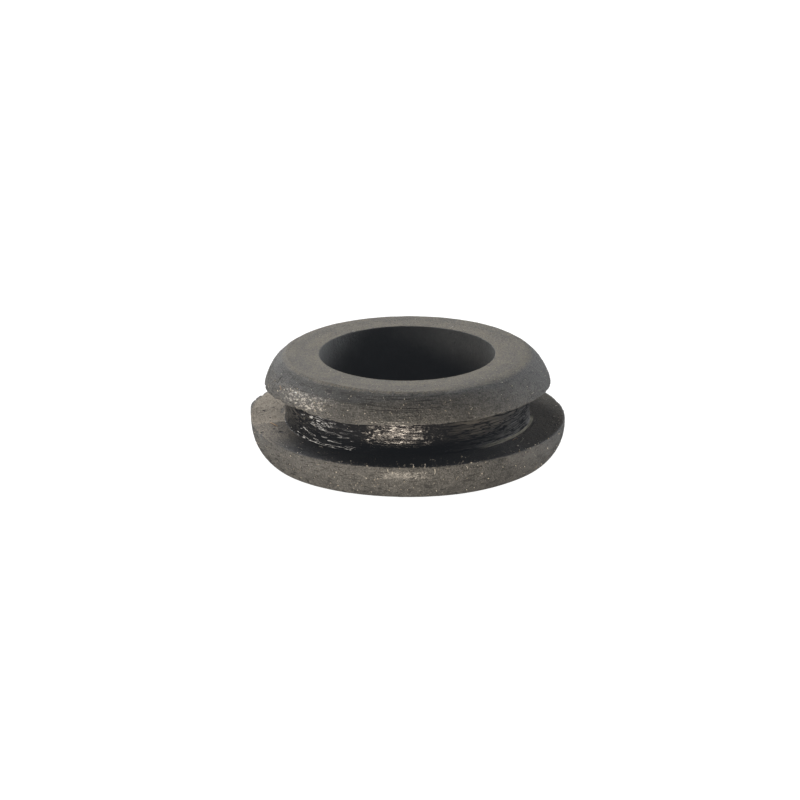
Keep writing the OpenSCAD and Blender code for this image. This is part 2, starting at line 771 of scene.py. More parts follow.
class RingPlace:
    """A shading point's place on the ring, in millimetres and degrees.

    near is 1 over the front and both sides, and 0 at the back, where the bearing jumps from 180 to -180.
    """

    def __init__(self, bench: Bench) -> None:
        """Reads the object coordinates.

        Args:
            bench: The material's bench.
        """
        self.bench = bench
        place = Signal(self.bench, self.bench.add("ShaderNodeTexCoord").outputs["Object"])
        split = self.bench.add("ShaderNodeSeparateXYZ", None, {0: place})
        self.x, self.y, self.height = (Signal(self.bench, axis) * (1 / MM) for axis in split.outputs)
        self.radius = (self.x * self.x + self.y * self.y).math("SQRT")
        self.bearing = self.x.math("ARCTAN2", self.y * -1.0) * math.degrees(1.0)
        self.near = self.bearing.math("ABSOLUTE").ramp(165.0, 115.0)

    def even(self, grain: float, detail: float = 3.0, rough: float = 0.55) -> Signal:
        """Noise whose grains are as long as they are wide."""
        share = 1 / grain
        place = self.bench.vector(self.x * share, self.y * share, self.height * share)
        return self.bench.noise(place, detail, rough)

    def drawn(self, along: float, across: float, detail: float = 3.0, rough: float = 0.55) -> Signal:
        """Noise drawn out round the ring. Its grains cross the flanges' slopes, which fall outwards."""
        rings = (self.height - self.radius) * (1 / across)
        place = self.bench.vector(self.x * (1 / along), self.y * (1 / along), rings)
        return self.bench.noise(place, detail, rough)

    def spots(self, spacing: float, size: float, share: float, seed: float) -> Signal:
        """Scattered round spots.

        Args:
            spacing: Distance between places where a spot may lie.
            size: Radius of a spot.
            share: Part of the places that has one.
            seed: Offset that picks another pattern.

        Returns:
            1 inside a spot, and 0 between them.
        """
        step = 1 / spacing
        place = self.bench.vector(self.x * step + seed, self.y * step, self.height * step)
        node = self.bench.add("ShaderNodeTexVoronoi", {"feature": "F1"}, {"Vector": place, "Scale": 1.0})
        chosen = self.bench.channel(node.outputs["Color"]).ramp(0.99 - share, 1.01 - share)
        return Signal(self.bench, node.outputs["Distance"]).ramp(size * step, size * step * 0.4) * chosen


# ---------------------------------------------------------------- finishes


@dataclass(frozen=True)
class Patch:
    """A soft-edged stretch of an upright face, by bearing and height."""

    bearing: float
    half_turn: float
    height: float
    half_height: float
    turn_fade: float
    height_fade: float

    def mask(self, ring: RingPlace, rag: Signal) -> Signal:
        """1 inside the patch.

        Args:
            ring: Places on the moulding.
            rag: Noise round 0 that breaks up its edge.

        Returns:
            The mask.
        """
        turn = (ring.bearing - self.bearing).math("ABSOLUTE") + rag * self.turn_fade
        rise = (ring.height - self.height).math("ABSOLUTE") + rag * self.height_fade
        wide = turn.ramp(self.half_turn + self.turn_fade, self.half_turn)
        return wide * rise.ramp(self.half_height + self.height_fade, self.half_height)


class RubberPlace(RingPlace):
    """A shading point of the moulding, with the noises and masks that several parts of its finish need."""

    def __init__(self, bench: Bench, section: Section, wear: Wear) -> None:
        """Adds the nodes of each.

        Args:
            bench: The material's bench.
            section: The moulding's section.
            wear: What it has been through.
        """
        super().__init__(bench)
        self.section = section
        self.wear = wear
        self.mottle = self.even(1.7, 5.0, 0.6)
        self.fine = self.even(0.25, 3.0, 0.7)
        self.top = self.height.ramp(section.top_z - 0.35, section.top_z - 0.05)
        self.bore = self.radius.ramp(section.bore_r + 0.09, section.bore_r + 0.02)
        self.neck = self.neck_mask()
        self.flash = self.flash_mask()
        self.cracks = self.crack_mask()
        self.pits = self.pit_mask()

    def neck_mask(self) -> Signal:
        """1 on the bare neck, with a ragged edge where it meets the flanges."""
        part = self.section
        rag = (self.even(0.5, 3.0) - 0.5) * 0.5
        between = self.height.band(part.groove_low + 0.06, part.groove_high + 0.3, 0.06)
        return between * (self.radius + rag).band(part.bore_r + 1.5, part.neck_r + 0.35, 0.4)

    def flash_mask(self) -> Signal:
        """1 on the strip of flash at the neck's root, which is painted pale as a ledge that light falls on.
        """
        line = self.wear.flash
        share = self.bearing.ramp(line.start, line.end)
        rise = share * (line.end_height - line.start_height) + line.start_height
        strip = (self.height - rise).band(-0.16, 0.08, 0.02)
        proud = self.radius.band(self.section.neck_r + 0.01, self.section.neck_r + 0.40, 0.03)
        length = self.bearing.band(line.start + 34, line.end - 6, 10)
        return strip * proud * length * self.even(0.5, 2.0).ramp(0.2, 0.36)

    def crack_mask(self) -> Signal:
        """1 along thin broken lines that run round the neck's right side."""
        long = (self.drawn(4.2, 0.32, 1.0, 0.5) - 0.5).math("ABSOLUTE").ramp(0.055, 0.022)
        short = (self.drawn(2.0, 0.19, 1.0, 0.5) - 0.47).math("ABSOLUTE").ramp(0.055, 0.020)
        long_kept = long * self.drawn(2.0, 0.6, 1.0).ramp(0.34, 0.44)
        short_kept = short * self.drawn(1.6, 0.5, 1.0).ramp(0.58, 0.48)
        return (long_kept + short_kept).math("MINIMUM", 1.0) * self.bearing.ramp(10.0, 22.0) * self.near

    def pit_mask(self) -> Signal:
        """1 in the small dark holes of the groove's floor."""
        dark = None
        for pit in self.wear.pits:
            x, y = pit.centre()
            gap = ((self.x - x).math("POWER", 2.0) + (self.y - y).math("POWER", 2.0)).math("SQRT")
            hole = gap.ramp(pit.size * 1.2, pit.size * 0.5)
            dark = hole if dark is None else dark.math("MAXIMUM", hole)
        return dark

    def floor(self, rag: "Signal | float", past_lip: float, before_lip: float) -> Signal:
        """1 on the floor of the groove.

        Args:
            rag: What its outer edge is shifted by, in millimetres.
            past_lip: How far outside the wide flange's lip it ends.
            before_lip: How far inside the lip it starts to fade.

        Returns:
            The mask.
        """
        part = self.section
        level = self.height.band(part.groove_low - 0.05, part.groove_low + 1.3, 0.04)
        return level * (self.radius + rag).ramp(part.base_lip_r + past_lip, part.base_lip_r - before_lip)

    def behind_crease(self) -> Signal:
        """Degrees from the fold's crease towards the back."""
        fold = self.wear.fold
        share = self.radius.ramp(self.section.base_lip_r, self.section.neck_r)
        return share * (fold.neck_bearing - fold.lip_bearing) + fold.lip_bearing - self.bearing


@dataclass(frozen=True)
class WornRubber:
    """Black rubber: dusty and pale outside, bare and glossy on the neck, bare and dull in the bore."""

    section: Section
    wear: Wear
    bloom: Colour = Colour(0.124, 0.124, 0.121)
    warm_bloom: Colour = Colour(0.156, 0.134, 0.093)
    worn: Colour = Colour(0.030, 0.030, 0.029)
    bare: Colour = Colour(0.009, 0.009, 0.010)
    # Grey of the neck's dull film, partly a painted reflection of the table.
    film_and_reflection: Colour = Colour(0.066, 0.063, 0.057)
    # Pale tone painted near the bore's top as the light that falls into it.
    bore_tone: Colour = Colour(0.120, 0.126, 0.128)
    floor_dust: Colour = Colour(0.390, 0.340, 0.275)
    floor_stain: Colour = Colour(0.044, 0.034, 0.019)
    # Light tone of the painted highlight over the rubbed patches.
    painted_highlight_tone: Colour = Colour(0.46, 0.445, 0.42)
    crease_tone: Colour = Colour(0.46, 0.42, 0.35)
    # Pale tone of the flash: painted light on the ledge at the neck's root.
    flash_tone: Colour = Colour(0.300, 0.283, 0.222)
    speck_tone: Colour = Colour(0.40, 0.36, 0.28)
    # Rubbed patch with scales and a lower roughness, and a painted highlight in its colour.
    crust_and_highlight: Patch = Patch(-48.0, 5.0, 9.0, 0.46, 13.0, 0.50)
    # Painted shade: a darker band below the shoulder at the left, over the hollow there.
    hollow: Patch = Patch(-48.0, 22.0, 10.30, 0.34, 14.0, 0.35)
    scratched: Patch = Patch(-4.0, 14.0, 10.0, 0.50, 10.0, 0.40)
    lip_polish: Patch = Patch(-8.0, 5.0, 8.16, 0.13, 9.0, 0.12)
    side_polish: Patch = Patch(-2.0, 6.0, 2.95, 0.34, 6.0, 0.25)
    relief_mm: float = 0.13
    bloom_cover: float = 0.55
    dusty_rough: float = 0.66
    glossy_rough: float = 0.20

    def build(self) -> bpy.types.Material:
        """Makes the material."""
        bench = Bench("worn_rubber")
        ring = RubberPlace(bench, self.section, self.wear)
        rag = (ring.fine - 0.5) * 2.5
        crust_and_highlight = self.crust_and_highlight.mask(ring, rag)
        polish = self.lip_polish.mask(ring, rag) + self.side_polish.mask(ring, rag)
        shine = (crust_and_highlight + polish).math("MINIMUM", 1.0)
        dents = self.dents(ring)
        colour = self.outside_tone(ring, crust_and_highlight, shine, dents)
        colour = self.groove_floor(ring, colour)
        colour = bench.blend(ring.neck, colour, self.neck_tone(ring))
        colour = bench.blend(ring.flash, colour, self.flash_tone)
        colour = bench.blend(ring.bore, colour, self.bore_wall(ring))
        colour = bench.blend(self.specks(ring), colour, self.speck_tone)
        inputs = {"Base Color": colour}
        inputs["Roughness"] = self.roughness(ring, shine)
        inputs["Normal"] = self.relief(ring, shine)
        bench.surface(inputs, self.painted_gap_shade(ring, dents))
        return bench.material

    def outside_tone(self, ring: RubberPlace, crust_and_highlight: Signal, shine: Signal, dents: Signal) -> Signal:
        """Colour of the dusty faces, with a painted highlight that pales them where they are rubbed.

        Args:
            ring: Places on the moulding.
            crust_and_highlight: 1 where the bloom is rubbed off in scales, where most of the painted
                highlight lies.
            shine: 1 where handling has rubbed it to a shine, which gets a little of the painted highlight.
            dents: Depth of the dark dashes, spots and scratches.

        Returns:
            The colour.
        """
        bloom = ring.bench.blend(ring.top, self.bloom, self.warm_bloom)
        colour = ring.bench.blend(self.dustiness(ring) - dents, self.worn, bloom)
        # Painted highlight: pales the rubbed patches towards a light tone.
        painted_highlight = (crust_and_highlight * 0.95 + shine * 0.12) * ring.drawn(0.45, 0.30, 2.0, 0.7).ramp(0.48, 0.63)
        return ring.bench.blend(painted_highlight, colour, self.painted_highlight_tone)

    def dustiness(self, ring: RubberPlace) -> Signal:
        """How thick the bloom lies on the outside, from 0 to 1, less where shade is painted and more where
        light is painted.
        """
        part = self.section
        side = 1.0 - ring.top
        base = ring.height.ramp(part.groove_low + 0.05, part.groove_low - 0.25)
        inner = ring.top * ring.radius.ramp(part.bore_r + 1.9, part.bore_r + 0.7)
        groove = ring.top * ring.radius.band(11.7, 12.1, 0.5)
        turned = ring.drawn(3.5, 0.42, 4.0, 0.65) - 0.5
        # Painted shade in the hollow below the shoulder at the left.
        hollow = self.hollow.mask(ring, ring.fine - 0.5)
        upper = ring.height.ramp(part.groove_high - 0.45, part.groove_high - 0.05)
        front = ring.bearing.band(-22.0, 30.0, 15.0) * upper * side
        low_front = ring.bearing.band(-16.0, 44.0, 14.0) * base
        right = ring.bearing.band(48.0, 90.0, 14.0) * base
        left = ring.bearing.ramp(-30.0, -50.0) * side * ring.near
        # Painted shade: darker towards the foot, in the hollow below the shoulder and on the front of both
        # flanges' sides. Painted light: lighter on the wide flange's right and a little on the left sides.
        painted_light_and_shade = ring.height.ramp(3.2, 1.2) * 0.22 + hollow * 0.6 + front * 0.22 + low_front * 0.11
        painted_light_and_shade = painted_light_and_shade - 0.34 * right - 0.05 * left
        grit = ring.even(0.13, 2.0, 0.8) - 0.5
        cloud = (ring.mottle - 0.5) * 1.1 + (ring.fine - 0.5) * 2.2 + grit * (3.0 + 0.4 * ring.top)
        cover = self.bloom_cover + 0.01 * ring.top + 0.10 * inner - 0.07 * groove
        return cover + cloud + turned * 0.65 - painted_light_and_shade

    def dents(self, ring: RubberPlace) -> Signal:
        """Depth of the dark dashes, spots and scratches in the dusty faces."""
        dashes = ring.drawn(0.9, 0.17, 2.0, 0.5).ramp(0.44, 0.30) * (1.0 - ring.top)
        dashes = dashes * (1.0 - 0.5 * ring.bearing.ramp(12.0, 40.0) * ring.near)
        blots = ring.spots(1.1, 0.20, 0.4, 4.0) * ring.mottle.ramp(0.58, 0.42)
        scratches = self.scratched.mask(ring, ring.fine - 0.5) * ring.drawn(2.6, 0.12, 0.0).ramp(0.42, 0.35)
        return dashes * 0.45 + blots * 0.22 + scratches * 0.55

    def groove_floor(self, ring: RubberPlace, colour: Signal) -> Signal:
        """Lays the floor's own dust over a colour: pale at the left, brown at the right, bare in front.

        Args:
            ring: Places on the moulding.
            colour: What it lies over.

        Returns:
            The new colour.
        """
        part = self.section
        bench = ring.bench
        rag = ring.fine - 0.5
        cloud = ring.mottle - 0.5
        grit = ring.even(0.13, 1.0) - 0.5
        outer = ring.radius.ramp(part.neck_r + 0.6, part.base_lip_r)
        behind = ring.behind_crease()
        left = ring.bearing.ramp(-44.0, -70.0) * (0.36 + 0.20 * outer) * ring.near
        left = behind.ramp(-3.0, 1.0) * 0.56 + left
        back = ring.bearing.math("ABSOLUTE").ramp(120.0, 160.0) * 0.6
        right = ring.bearing.ramp(38.0, 75.0) * 0.85 + ring.bearing.ramp(15.0, 55.0) * 0.1
        stain = right * ring.near * (0.85 + 1.2 * cloud + 0.6 * rag)
        laid = bench.blend(stain, self.bare, self.floor_stain)
        dust = left.math("MAXIMUM", back) * (0.95 + 0.9 * cloud + 2.6 * rag + 2.4 * grit)
        laid = bench.blend(dust, laid, self.floor_dust)
        crease = behind.math("ABSOLUTE").ramp(0.42, 0.12) * ring.even(0.8, 2.0).ramp(0.36, 0.5)
        crease = crease * (0.25 + 0.5 * (1.0 - outer))
        laid = bench.blend(crease * ring.bearing.ramp(-60.0, -70.0), laid, self.crease_tone)
        laid = bench.blend(ring.pits, laid, self.bare)
        return bench.blend(ring.floor(rag * 0.7, 0.12, 0.3), colour, laid)

    def neck_tone(self, ring: RubberPlace) -> Signal:
        """Colour of the neck: bare black, with a dull film at the right that black cracks run through,
        whose grey is partly a painted reflection of the table.
        """
        film_and_reflection = ring.bearing.ramp(12.0, 36.0) * (1.0 - 0.6 * ring.bearing.ramp(48.0, 75.0))
        film_and_reflection = film_and_reflection * (1.05 + 0.5 * (ring.mottle - 0.5) + 1.0 * (ring.fine - 0.5))
        lines = ring.drawn(3.4, 0.16, 0.0).ramp(0.47, 0.38)
        film_and_reflection = film_and_reflection * (1.0 - ring.cracks) * (1.08 - 0.7 * lines)
        flecks = ring.drawn(0.5, 0.15, 1.0).ramp(0.56, 0.66) * ring.bearing.ramp(-44.0, -56.0)
        return ring.bench.blend((film_and_reflection + flecks) * ring.near, self.bare, self.film_and_reflection)

    def bore_wall(self, ring: RubberPlace) -> Signal:
        """Colour of the bore: dull, with painted light and shade, pale near the top and darker below and at
        the right.
        """
        top_z = self.section.top_z
        # Painted shade: the bore darkens with depth and at the right, towards the worn tone.
        pale = ring.height.ramp(top_z - 6.0, top_z) * 0.75 - 0.42 * ring.bearing.band(60.0, 120.0, 40.0)
        return ring.bench.blend(pale + 0.8 * (ring.mottle - 0.5), self.worn, self.bore_tone)

    def specks(self, ring: RubberPlace) -> Signal:
        """Strength of the pale specks that are pressed into the bloom."""
        part = self.section
        lips = ring.height.band(part.groove_low - 0.5, part.groove_low + 0.02, 0.3)
        left = ring.bearing.band(-80.0, -25.0, 25.0)
        dense = ring.spots(0.30, 0.060, 0.35, 21.0) * (0.35 + 0.65 * lips.math("MAXIMUM", left))
        sparse = ring.spots(0.8, 0.085, 0.5, 33.0)
        return (dense.math("MAXIMUM", sparse) * (1.0 - 0.8 * ring.neck) * (1.0 - ring.bore)) * 0.55

    def painted_gap_shade(self, ring: RubberPlace, dents: Signal) -> Signal:
        """Share of the surface painted matte black as shade: in dents and cracks and between threads, and
        on the front-left floor and far-left neck, where it dulls the sheen.
        """
        # Painted shade over the front-left floor, the far-left neck, dents, cracks and the lines between
        # threads.
        front_left = ring.bearing.band(-54.0, -34.0, 10.0) * 0.25
        shade = dents * 0.8 + ring.floor(0.0, 0.1, 0.4) * front_left
        threads = ring.drawn(1.2, 0.14, 1.0, 0.5).ramp(0.52, 0.44) * ring.bearing.band(-16.0, 8.0, 8.0)
        far_left = ring.bearing.ramp(-62.0, -74.0) * ring.near
        bare = (ring.cracks * 0.85 + threads * 0.45 + far_left * 0.25).math("MINIMUM", 1.0)
        deep = (shade + ring.neck * (bare - shade)) * (1.0 - ring.bore) * (1.0 - ring.flash)
        return deep.math("MINIMUM", 1.0)

    def roughness(self, ring: RubberPlace, shine: Signal) -> Signal:
        """Dull where dusty, glossier where rubbed and on the neck, in drawn-out streaks."""
        streaks = ring.drawn(1.6, 0.16, 3.0) - 0.5
        floor = ring.floor(0.0, 0.1, 0.3)
        clean = floor * (ring.bearing.band(-40.0, 36.0, 20.0) * 0.30 - ring.bearing.ramp(36.0, 60.0) * 0.2)
        clean = clean - floor * ring.bearing.ramp(-50.0, -66.0) * 0.2
        dusty = self.dusty_rough + 0.5 * (ring.fine - 0.5) - 0.28 * shine - clean
        filmed = 0.50 * ring.bearing.ramp(12.0, 40.0) + 0.12 * ring.bearing.ramp(-62.0, -74.0)
        filmed = (filmed - 0.08 * ring.bearing.ramp(-18.0, -28.0)) * ring.near
        glossy = self.glossy_rough + 0.2 * streaks + filmed
        return dusty + ring.neck * (1.0 - ring.flash) * (glossy - dusty)

    def relief(self, ring: RubberPlace, shine: Signal) -> Signal:
        """Grain of the dusty faces, scales where they are rubbed, and fine score lines of the neck."""
        grain = ring.fine * 1.2 + ring.even(0.6, 4.0, 0.6) * 0.5 - ring.spots(0.9, 0.1, 0.5, 8.0) * 0.35
        scales = ring.drawn(0.42, 0.22, 1.0, 0.5)
        dry = grain + shine * (scales - grain * 0.8)
        left = ring.bearing.ramp(-18.0, -30.0) * ring.near
        scores = (ring.drawn(1.1, 0.21, 0.0, 0.5) * 0.75 + ring.even(0.45, 1.0) * 0.45) * (1.0 - left)
        scores = scores + ring.drawn(1.3, 0.34, 0.6, 0.5) * 1.1 * left - ring.cracks * 0.7
        return ring.bench.bump(dry - ring.pits * 1.2 + ring.neck * (scores - dry), self.relief_mm)


@dataclass(frozen=True)
class DustFinish:
    """Chalky dust or lint in two close tones."""

    name: str
    low: Colour
    high: Colour
    grain: float = 0.6
    rough: float = 0.8

    def build(self) -> bpy.types.Material:
        """Makes the material."""
        bench = Bench(self.name)
        ring = RingPlace(bench)
        tone = ring.even(self.grain, 2.0).ramp(0.35, 0.65)
        colour = bench.blend(tone, self.low, self.high)
        rough = self.rough + 0.3 * (ring.even(0.1, 2.0) - 0.5)
        normal = bench.bump(ring.even(0.05, 2.0), 0.01)
        bench.surface({"Base Color": colour, "Roughness": rough, "Normal": normal})
        return bench.material


@dataclass(frozen=True)
class TableFinish:
    """White table. With a glow it is lit through from below, and shows no shadow."""

    name: str
    glow: float
    shade: float
    rough: float = 0.8

    def build(self) -> bpy.types.Material:
        """Makes the material."""
        bench = Bench(self.name)
        grey = Colour(self.shade, self.shade, self.shade)
        settings = {"Base Color": grey, "Roughness": self.rough, "Emission Color": Colour(1, 1, 1)}
        bench.surface({**settings, "Emission Strength": self.glow})
        return bench.material


# ---------------------------------------------------------------- pieces


def finish_mesh(bm: bmesh.types.BMesh, name: str, material: bpy.types.Material) -> bpy.types.Object:
    """Turns a bmesh in millimetres into a smooth object at the origin, in metres.

    Args:
        bm: The mesh, which is freed.
        name: Name of the object.
        material: Its material.

    Returns:
        The object.
    """
    bmesh.ops.scale(bm, vec=(MM, MM, MM), verts=bm.verts)
    mesh = bpy.data.meshes.new(name)
    bm.to_mesh(mesh)
    bm.free()
    mesh.shade_smooth()
    mesh.materials.append(material)
    piece = bpy.data.objects.new(name, mesh)
    bpy.context.scene.collection.objects.link(piece)
    return piece


def lay_on_part(bm: bmesh.types.BMesh, name: str, material: bpy.types.Material) -> bpy.types.Object:
    """Finishes a closed mesh as a piece that rides on the part's body.

    Args:
        bm: The mesh, which is freed.
        name: Name of the piece.
        material: Its material.

    Returns:
        The piece.
    """
    bmesh.ops.recalc_face_normals(bm, faces=bm.faces)
    piece = finish_mesh(bm, name, material)
    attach(piece, BODY)
    return piece


@dataclass
class Skin:
    """The moulding itself, in place of the plain CAD node."""

    section: Section
    segments: int = 336
    surface: BVHTree | None = None

    def build(self) -> bpy.types.Object:
        """Spins the section, wears it and dresses it."""
        bm = bmesh.new()
        ring = [bm.verts.new((point.x, 0.0, point.y)) for point in self.section.outline()]
        edges = [bm.edges.new(pair) for pair in zip(ring, ring[1:] + ring[:1])]
        bmesh.ops.spin(
            bm,
            geom=ring + edges,
            cent=(0, 0, 0),
            axis=(0, 0, 1),
            dvec=(0, 0, 0),
            angle=math.tau,
            steps=self.segments,
            use_merge=True,
            use_duplicate=False,
        )
        bmesh.ops.remove_doubles(bm, verts=bm.verts, dist=1e-5)
        wear = Wear(self.section)
        for vert in bm.verts:
            vert.co = wear.moved(vert.co)
        bmesh.ops.recalc_face_normals(bm, faces=bm.faces)
        self.surface = BVHTree.FromBMesh(bm)
        piece = lay_on_part(bm, "grommet_skin", WornRubber(self.section, wear).build())
        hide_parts(NODE)
        return piece


class Seat(Enum):
    """Where a crumb or fibre lies, and so how it is brought to the skin."""

    FLOOR = "floor"
    TOP = "top"
    SIDE = "side"
    NECK = "neck"

    def start(self, bearing: float, reach: float, section: Section) -> tuple[Vector, Vector]:
        """Where it starts, clear of the skin, and the way it goes until it meets the skin.

        Args:
            bearing: Its bearing.
            reach: Its radius on a level face, or its height on an upright one.
            section: The moulding's section.

        Returns:
            A place in millimetres and a unit vector.
        """
        turn = math.radians(bearing)
        outward = Vector((math.sin(turn), -math.cos(turn), 0.0))
        clear = {
            Seat.FLOOR: section.groove_high - 1.0,
            Seat.TOP: section.top_z + 3.0,
            Seat.NECK: section.neck_r + 1.4,
            Seat.SIDE: section.base_lip_r + 5.0,
        }[self]
        if self in (Seat.FLOOR, Seat.TOP):
            return outward * reach + Vector((0, 0, clear)), Vector((0, 0, -1))
        return outward * clear + Vector((0, 0, reach)), -outward


@dataclass(frozen=True)
class Crumb:
    """One crumb of dust, at a bearing and, by its seat, a radius or a height."""

    seat: Seat
    bearing: float
    reach: float
    size: float
    stretch: float = 1.0


@dataclass(frozen=True)
class Strewing:
    """A stretch of the skin with crumbs strewn at random over it.

    It lies between two bearings and two reaches, and its crumbs are from small to large in size.
    """

    seat: Seat
    start: float
    end: float
    low: float
    high: float
    count: int
    small: float = 0.028
    large: float = 0.065

    def crumbs(self, chance: random.Random) -> list[Crumb]:
        """Picks the crumbs.

        Args:
            chance: The seeded generator.

        Returns:
            The crumbs.
        """
        picked = []
        for _ in range(self.count):
            bearing = chance.uniform(self.start, self.end)
            reach = chance.uniform(self.low, self.high)
            size = self.small + (self.large - self.small) * chance.random() ** 2
            picked.append(Crumb(self.seat, bearing, reach, size, chance.uniform(0.7, 1.6)))
        return picked


# Bearing, reach, size and, where it is long, stretch of each crumb that has a place of its own.
NAMED_CRUMBS: dict[Seat, tuple[tuple[float, ...], ...]] = {
    Seat.FLOOR: (
        (-3.9, 15.98, 0.06),
        (-1.1, 16.37, 0.10, 1.5),
        (22.6, 14.90, 0.10, 1.9),
        (20.9, 16.35, 0.08, 1.4),
        (23.2, 17.00, 0.09),
        (48.3, 15.64, 0.11),
        (57.5, 14.56, 0.07),
        (44.4, 16.95, 0.07),
        (53.5, 16.90, 0.07, 1.5),
        (55.2, 16.95, 0.05),
        (15.5, 15.49, 0.05),
        (-21.9, 16.06, 0.09, 1.5),
    ),
    Seat.NECK: (
        (-70.0, 4.10, 0.07),
    ),
    Seat.SIDE: (
        (-5.3, 3.29, 0.06, 1.3),
        (-6.8, 1.16, 0.07),
        (-18.5, 1.80, 0.05),
        (-52.5, 9.59, 0.06, 1.3),
        (-49.3, 9.03, 0.06),
        (-41.2, 9.19, 0.07),
        (-36.0, 9.08, 0.08),
        (-24.8, 9.07, 0.06),
        (-72.8, 9.37, 0.06),
        (32.6, 8.15, 0.05),
        (27.7, 8.22, 0.05),
    ),
    Seat.TOP: (
        (150.6, 10.21, 0.08),
        (23.0, 9.75, 0.07),
        (-142.3, 9.75, 0.06, 1.8),
    ),
}


@dataclass
class Crumbs:
    """Dust crumbs that stick to the skin."""

    skin: Skin
    finish: DustFinish = DustFinish("pale_dust", Colour(0.28, 0.24, 0.18), Colour(0.62, 0.59, 0.53))
    strewn: tuple[Strewing, ...] = (
        Strewing(Seat.FLOOR, -32.0, 50.0, 16.2, 17.05, 90),
        Strewing(Seat.FLOOR, -75.0, -30.0, 14.2, 17.0, 40),
        Strewing(Seat.FLOOR, 50.0, 100.0, 15.8, 17.0, 24),
        Strewing(Seat.FLOOR, -20.0, 60.0, 14.0, 16.2, 22),
        Strewing(Seat.FLOOR, 100.0, 280.0, 14.0, 17.0, 60),
        Strewing(Seat.SIDE, -80.0, -20.0, 8.1, 10.4, 60),
        Strewing(Seat.SIDE, -20.0, 95.0, 8.0, 10.8, 90),
        Strewing(Seat.SIDE, 95.0, 280.0, 8.1, 10.6, 50),
        Strewing(Seat.SIDE, -80.0, 80.0, 0.6, 3.7, 130),
        Strewing(Seat.SIDE, 80.0, 280.0, 0.6, 3.7, 60),
        Strewing(Seat.NECK, 15.0, 80.0, 7.3, 7.75, 16),
        Strewing(Seat.NECK, -60.0, -15.0, 4.2, 7.4, 26, 0.02, 0.04),
        Strewing(Seat.TOP, -60.0, 60.0, 10.0, 13.0, 64, 0.02, 0.05),
        Strewing(Seat.TOP, 60.0, 300.0, 9.8, 13.0, 40, 0.02, 0.045),
    )
    seed: int = 11
    fine_from: float = 0.05
    rise: float = 0.3

    def build(self) -> bpy.types.Object:
        """Makes every crumb, each partly sunk into the skin."""
        chance = random.Random(self.seed)
        crumbs = [Crumb(seat, *numbers) for seat, rows in NAMED_CRUMBS.items() for numbers in rows]
        for strewing in self.strewn:
            crumbs += strewing.crumbs(chance)
        bm = bmesh.new()
        for crumb in crumbs:
            self.add(bm, crumb, chance)
        return lay_on_part(bm, "dust_crumbs", self.finish.build())

    def add(self, bm: bmesh.types.BMesh, crumb: Crumb, chance: random.Random) -> None:
        """Adds one crumb where its path meets the skin.

        Args:
            bm: The mesh.
            crumb: The crumb.
            chance: The seeded generator.
        """
        start, way = crumb.seat.start(crumb.bearing, crumb.reach, self.skin.section)
        place, normal, _, _ = self.skin.surface.ray_cast(start, way)
        if place is None:
            return
        rounds = 2 if crumb.size > self.fine_from else 1
        verts = bmesh.ops.create_icosphere(bm, subdivisions=rounds, radius=crumb.size)["verts"]
        for vert in verts:
            vert.co *= chance.uniform(0.75, 1.2)
        bmesh.ops.scale(bm, vec=(crumb.stretch, 1.0, 0.8), verts=verts)
        turn = normal.to_track_quat("Z", "Y") @ Quaternion((0, 0, 1), chance.uniform(0.0, math.tau))
        bmesh.ops.rotate(bm, cent=(0, 0, 0), matrix=turn.to_matrix(), verts=verts)
        bmesh.ops.translate(bm, vec=place + normal * crumb.size * self.rise, verts=verts)


@dataclass(frozen=True)
class Fibre:
    """One short fibre, from where it starts on the skin to where it ends."""

    seat: Seat
    start: tuple[float, float]
    end: tuple[float, float]
    bow: float
    lift: float
    thick: float = 0.03
    rise: float = 0.4

    def path(self, skin: Skin, count: int) -> list[Vector]:
        """Points of the fibre, laid on the skin and lifted between its ends.

        Args:
            skin: What it lies on.
            count: How many stretches it has.

        Returns:
            The points that lie on the skin.
        """
        points = []
        for step in range(count + 1):
            share = step / count
            swell = math.sin(math.pi * share)
            bearing = self.start[0] + (self.end[0] - self.start[0]) * share + self.bow * swell
            reach = self.start[1] + (self.end[1] - self.start[1]) * share
            start, way = self.seat.start(bearing, reach, skin.section)
            place, normal, _, _ = skin.surface.ray_cast(start, way)
            if place is not None:
                points.append(place + normal * (self.thick * self.rise + self.lift * swell))
        return points


@dataclass
class Lint:
    """Short fibres caught on the skin."""

    skin: Skin
    name: str
    finish: DustFinish
    fibres: tuple[Fibre, ...]
    sides: int = 5
    steps: int = 9

    def build(self) -> bpy.types.Object:
        """Draws every fibre as a thin closed tube."""
        bm = bmesh.new()
        for fibre in self.fibres:
            points = fibre.path(self.skin, self.steps)
            if len(points) > 2:
                self.draw(bm, points, fibre.thick)
        return lay_on_part(bm, self.name, self.finish.build())

    def draw(self, bm: bmesh.types.BMesh, points: list[Vector], thick: float) -> None:
        """Draws a ring along a path and closes both ends.

        Args:
            bm: The mesh.
            points: The path.
            thick: Radius of the tube.
        """
        ring = bmesh.ops.create_circle(bm, cap_ends=True, segments=self.sides, radius=thick)["verts"]
        heading = (points[1] - points[0]).normalized()
        matrix = heading.to_track_quat("Z", "Y").to_matrix()
        bmesh.ops.rotate(bm, cent=(0, 0, 0), matrix=matrix, verts=ring)
        bmesh.ops.translate(bm, vec=points[0], verts=ring)
        edges = list(dict.fromkeys(edge for vert in ring for edge in vert.link_edges))
        for here, there in zip(points, points[1:]):
            made = bmesh.ops.extrude_edge_only(bm, edges=edges)["geom"]
            verts = [item for item in made if isinstance(item, bmesh.types.BMVert)]
            edges = [item for item in made if isinstance(item, bmesh.types.BMEdge)]
            turned = heading.rotation_difference((there - here).normalized())
            heading = (there - here).normalized()
            bmesh.ops.rotate(bm, cent=here, matrix=turned.to_matrix(), verts=verts)
            bmesh.ops.translate(bm, vec=there - here, verts=verts)
        bmesh.ops.contextual_create(bm, geom=edges)


